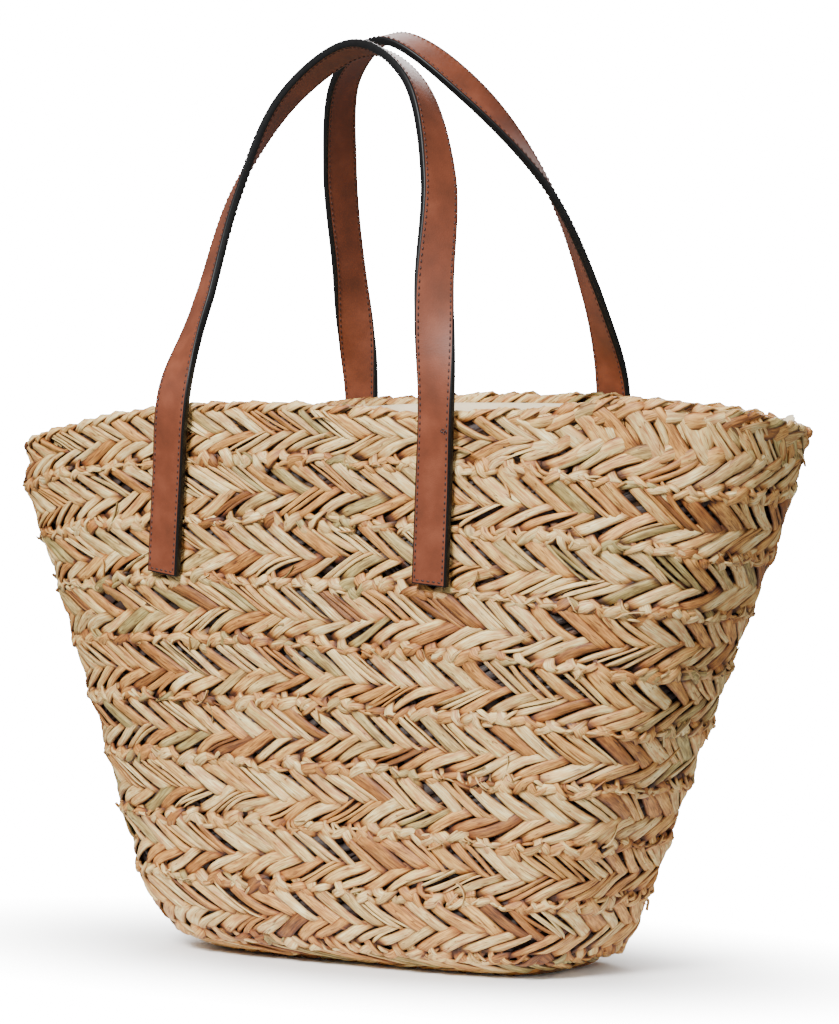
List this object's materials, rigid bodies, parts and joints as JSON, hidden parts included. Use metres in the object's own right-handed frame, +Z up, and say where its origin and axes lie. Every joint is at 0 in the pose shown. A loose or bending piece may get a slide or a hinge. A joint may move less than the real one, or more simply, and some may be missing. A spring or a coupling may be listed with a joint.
{
  "type": "straw basket bag",
  "caption": "Flared straw basket bag with an oval mouth, plaited seagrass walls, a pale cloth lining and a pair of tan leather shoulder handles.",
  "frame": {"origin": "on the floor, under the middle of the whole bag's bounding box", "axes": "+Z up, +X towards the higher right end of the mouth, -Y out of the front wall"},
  "size_m": [0.472, 0.1784, 0.4795],
  "materials": {
    "seagrass": "dry plaited straw, matte with a faint sheen along the blades",
    "cotton": "plain woven cotton, matte",
    "leather": "smooth tan leather, semi-matte, with black painted edges and dark red-brown stitching"
  },
  "bodies": {
    "root": {"straw_body": "seagrass", "lining": "cotton", "handle_front": "leather", "handle_back": "leather"}
  },
  "joints": []
}
